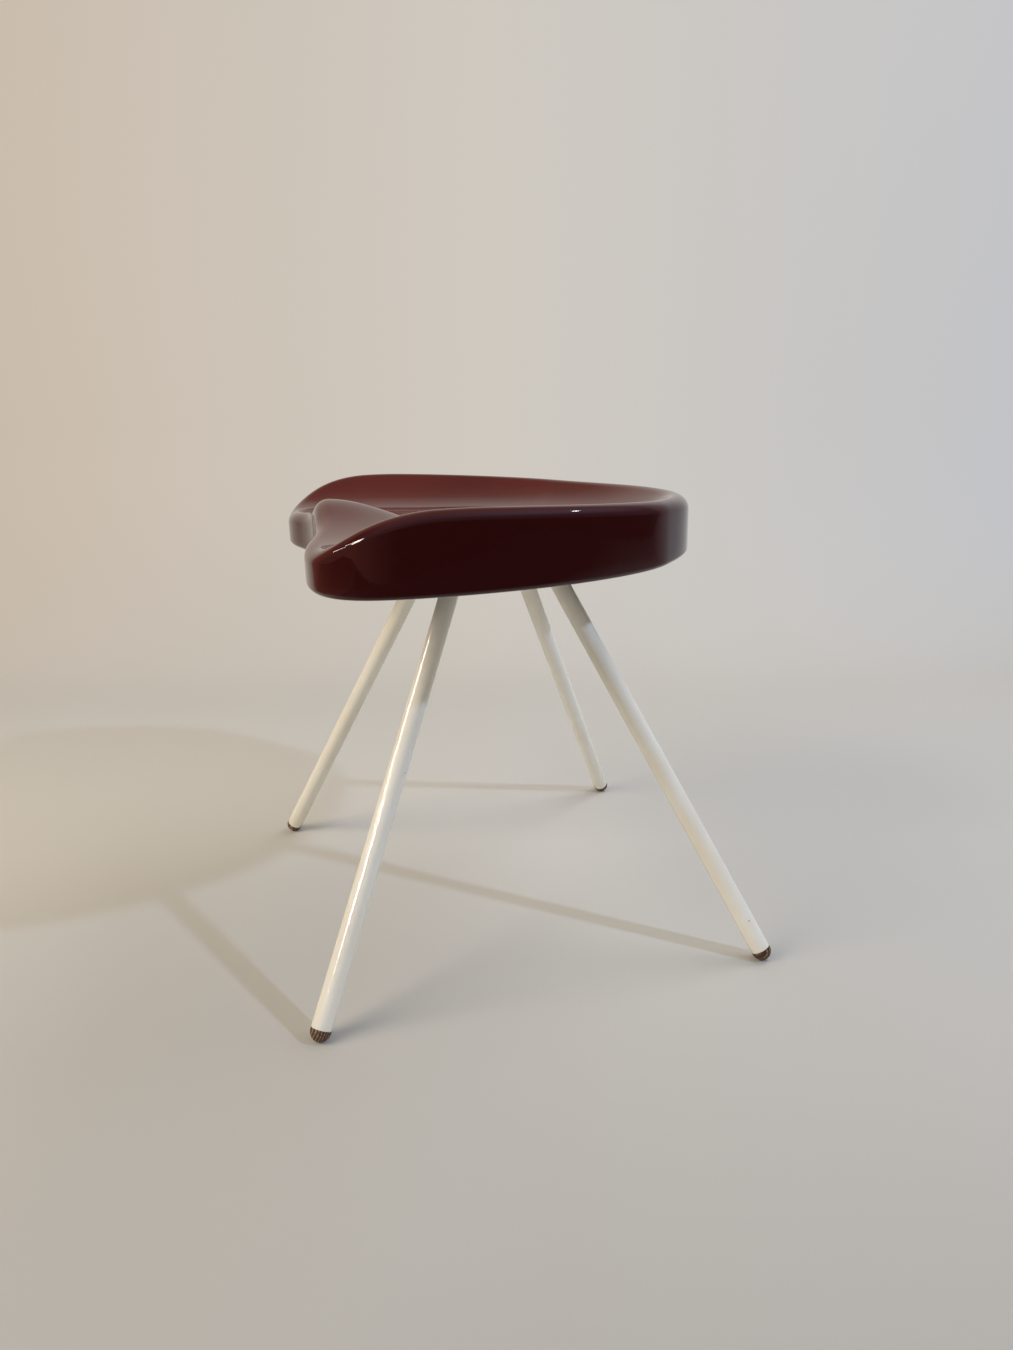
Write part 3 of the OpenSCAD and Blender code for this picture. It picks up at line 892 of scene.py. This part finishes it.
def makeBackdrop(look):
    away, side = headingVectors(cameraLook["heading"])
    r = look["sweep"]
    wallAway = look["wallAway"]
    profile = [(-look["front"], 0.0)]
    for k in range(look["sweepSteps"] + 1):
        a = math.pi / 2 * k / look["sweepSteps"]
        profile.append((wallAway - r + r * math.sin(a), r - r * math.cos(a)))
    profile.append((wallAway, look["wallHigh"]))
    verts = []
    for d, z in profile:
        for w in (-look["halfWide"], look["halfWide"]):
            p = away * d + side * w
            verts.append((p.x, p.y, z))
    faces = [(2 * k, 2 * k + 1, 2 * k + 3, 2 * k + 2) for k in range(len(profile) - 1)]
    backdrop = addMesh("backdrop", verts, faces)
    material, tree, shader = startMaterial("paleBackdrop")
    place = objectPlace(tree)
    path = addNode(tree, "ShaderNodeLightPath").outputs
    eye = number(tree, "MAXIMUM", path["Is Camera Ray"], path["Is Glossy Ray"])
    depth = vector(tree, "DOT_PRODUCT", place, tuple(away))
    across = vector(tree, "DOT_PRODUCT", place, tuple(side))
    wall = number(tree, "MULTIPLY", eye, spread(tree, depth, *look["wallFade"], 0.0, 1.0))
    half = look["wallSpan"] / 2
    # painted light: the backdrop glows warm on the left and cool on the right
    shown = colourRamp(tree, spread(tree, across, -half, half, 0.0, 1.0), [
        (0.0, look["wallLeft"]), (0.5, look["wallMiddle"]), (1.0, look["wallRight"])])
    # mirrors see the stage dimmer at its sides and towards the camera, and paler higher up
    reach = look["halfWide"]
    sides = colourRamp(tree, spread(tree, across, -reach, reach, 0.0, 1.0), [
        ((at + reach) / reach / 2, colour) for at, colour in look["mirroredSides"]])
    left = spread(tree, across, *look["mirroredLeft"], 1.0, 0.0)
    front = spread(tree, depth, *look["mirroredFront"], look["mirroredFrontTone"], 1.0)
    ends = number(tree, "MULTIPLY", number(tree, "MAXIMUM", left, front), look["riseMost"])
    height = addNode(tree, "ShaderNodeSeparateXYZ", {0: place}).outputs["Z"]
    rise = colourRamp(tree, number(tree, "DIVIDE", height, look["wallHigh"]), [
        (at / look["wallHigh"], (share / look["riseMost"],) * 3) for at, share in look["mirroredRise"]])
    mirror = vector(tree, "SCALE", vector(tree, "MULTIPLY", sides, rise), scale=ends)
    view = mixColours(tree, path["Is Glossy Ray"], (1, 1, 1, 1), mirror)
    # painted shade: the floor is darker towards the camera
    shade = spread(tree, depth, *look["nearShadeFade"], look["nearShade"], 1.0)
    tone = vector(tree, "MULTIPLY", view, vector(tree, "SCALE", look["floor"], scale=shade))
    tree.links.new(blendColour(tree, wall, tone, look["wallBase"]), shader.inputs["Base Color"])
    lit = vector(tree, "MULTIPLY", view, vector(tree, "SCALE", shown, scale=wall))
    tree.links.new(lit, shader.inputs["Emission Color"])
    shader.inputs["Emission Strength"].default_value = 1.0
    shader.inputs["Roughness"].default_value = look["roughness"]
    backdrop.data.materials.append(material)


makeBackdrop(stageLook)


# Soft light: a warm panel in front of the stool, a cool lamp and a pale panel behind it, and a weak
# panel beside it. Each lamp stands off along its way and points at lampAim.
lampAim = (0, 0, 0.25)
lightLooks = {
    "warmPanel": {"way": (0.12, -0.81, 0.575), "far": 2.2, "size": (1.3, 1.1), "power": 31.0,
                  "colour": (1.0, 0.875, 0.73), "mirrored": False},
    "coolLamp": {"way": (0.532, 0.577, 0.62), "far": 2.27, "size": (0.07, 0.07), "power": 18.0,
                 "colour": (0.54, 0.685, 0.98), "mirrored": False},
    "skyPanel": {"way": (-0.10, 0.62, 0.78), "far": 2.0, "size": (1.2, 1.2), "power": 15.0,
                 "colour": (0.94, 0.94, 0.985), "mirrored": False},
    "sideFill": {"way": (0.95, -0.20, 0.08), "far": 2.4, "size": (1.6, 1.2), "power": 5.0,
                 "colour": (1.0, 0.94, 0.86), "mirrored": False},
    # these only draw highlights on the gloss
    "warmGlint": {"way": (0.5285, -0.7557, 0.386), "far": 2.5, "size": (0.62, 0.42), "power": 24.0,
                  "colour": (1.0, 0.90, 0.78), "lighting": False},
    "warmStrip": {"way": (-0.0146, -0.929, 0.37), "far": 2.4, "size": (1.3, 0.03), "power": 6.0,
                  "colour": (1.0, 0.90, 0.78), "lighting": False},
    "legPane": {"way": (-0.106, -0.861, 0.497), "far": 2.4, "size": (0.45, 0.55), "power": 22.0,
                "colour": (1.0, 0.90, 0.76), "lighting": False, "only": legs},
    "warmSlit": {"way": (0.325, -0.830, 0.454), "far": 2.4, "size": (1.1, 0.04), "power": 7.0,
                 "colour": (1.0, 0.90, 0.78), "lighting": False},
    "coolGlint": {"way": (0.247, 0.657, 0.713), "far": 2.39, "size": (0.12, 0.05), "power": 2.0,
                  "colour": (0.90, 0.95, 1.0), "lighting": False},
}
# The light from all round, by the way it comes from: 0 degrees is +X and 90 is +Y
surroundLook = {
    "under": [(-135, (0.20, 0.08, 0.06)), (-60, (0.55, 0.19, 0.15)), (-30, (0.30, 0.13, 0.11)),
              (-5, (0.02, 0.02, 0.02)), (90, (0.02, 0.02, 0.02)), (135, (0.16, 0.16, 0.16))],
    "low": [(-180, (0.10, 0.06, 0.05)), (-90, (0.48, 0.20, 0.16)), (-40, (0.32, 0.20, 0.17)),
            (20, (0.14, 0.13, 0.14)), (90, (0.10, 0.12, 0.16)), (180, (0.10, 0.06, 0.05))],
    "high": [(-180, (0.60, 0.46, 0.36)), (-120, (0.34, 0.22, 0.16)), (-90, (0.14, 0.05, 0.05)),
             (-45, (0.28, 0.27, 0.34)), (10, (0.26, 0.28, 0.40)), (55, (0.45, 0.50, 0.75)),
             (90, (0.42, 0.42, 0.58)), (120, (0.26, 0.20, 0.20)), (180, (0.60, 0.46, 0.36))],
    "overhead": (0.44, 0.33, 0.28),
    "lowFrom": (-3, 9),  # degrees up at which one height turns into the next
    "highFrom": (20, 42),
    "overheadFrom": (52, 76),
    "soft": (0.32, 0.305, 0.275),  # the even light that matt surfaces take from it
    "seen": (0.56, 0.535, 0.50),  # what the camera sees past the backdrop
}


def addLamp(name, look):
    data = bpy.data.lights.new(name, "AREA")
    data.shape = "RECTANGLE"
    data.size, data.size_y = look["size"]
    data.energy = look["power"]
    data.color = look["colour"]
    lamp = bpy.data.objects.new(name, data)
    bpy.context.scene.collection.objects.link(lamp)
    way = Vector(look["way"]).normalized()
    turn = way.to_track_quat("Z", "Y").to_matrix().to_4x4()
    lamp.matrix_world = Matrix.Translation(Vector(lampAim) + way * look["far"]) @ turn
    lamp.visible_camera = False
    lamp.visible_glossy = look.get("mirrored", True)
    lamp.visible_diffuse = look.get("lighting", True)
    if "only" in look:
        receivers = bpy.data.collections.new(name + "Receivers")
        for piece in look["only"]:
            receivers.objects.link(piece)
        lamp.light_linking.receiver_collection = receivers


def makeSurround(look):
    world = bpy.data.worlds.new("surround")
    bpy.context.scene.world = world
    world.use_nodes = True
    tree = world.node_tree
    background = tree.nodes["Background"]
    way = addNode(tree, "ShaderNodeTexCoord").outputs["Generated"]
    part = addNode(tree, "ShaderNodeSeparateXYZ", {0: way}).outputs
    turn = number(tree, "ARCTAN2", part["Y"], part["X"])
    up = number(tree, "DEGREES", number(tree, "ARCSINE", part["Z"]))
    around = spread(tree, turn, -math.pi, math.pi, 0.0, 1.0)

    def levelColour(level):
        return colourRamp(tree, around, [((at + 180) / 360, colour) for at, colour in look[level]])

    def heightShare(level):
        return spread(tree, up, *look[level + "From"], 0.0, 1.0)

    tone = levelColour("under")
    for level in ("low", "high"):
        tone = mixColours(tree, heightShare(level), tone, levelColour(level))
    tone = blendColour(tree, heightShare("overhead"), tone, look["overhead"])
    path = addNode(tree, "ShaderNodeLightPath").outputs
    tone = blendColour(tree, path["Is Diffuse Ray"], tone, look["soft"])
    tree.links.new(blendColour(tree, path["Is Camera Ray"], tone, look["seen"]), background.inputs["Color"])


for name, look in lightLooks.items():
    addLamp(name, look)
makeSurround(surroundLook)
bpy.context.scene.view_settings.view_transform = "Standard"
print("stage and lamps ready")
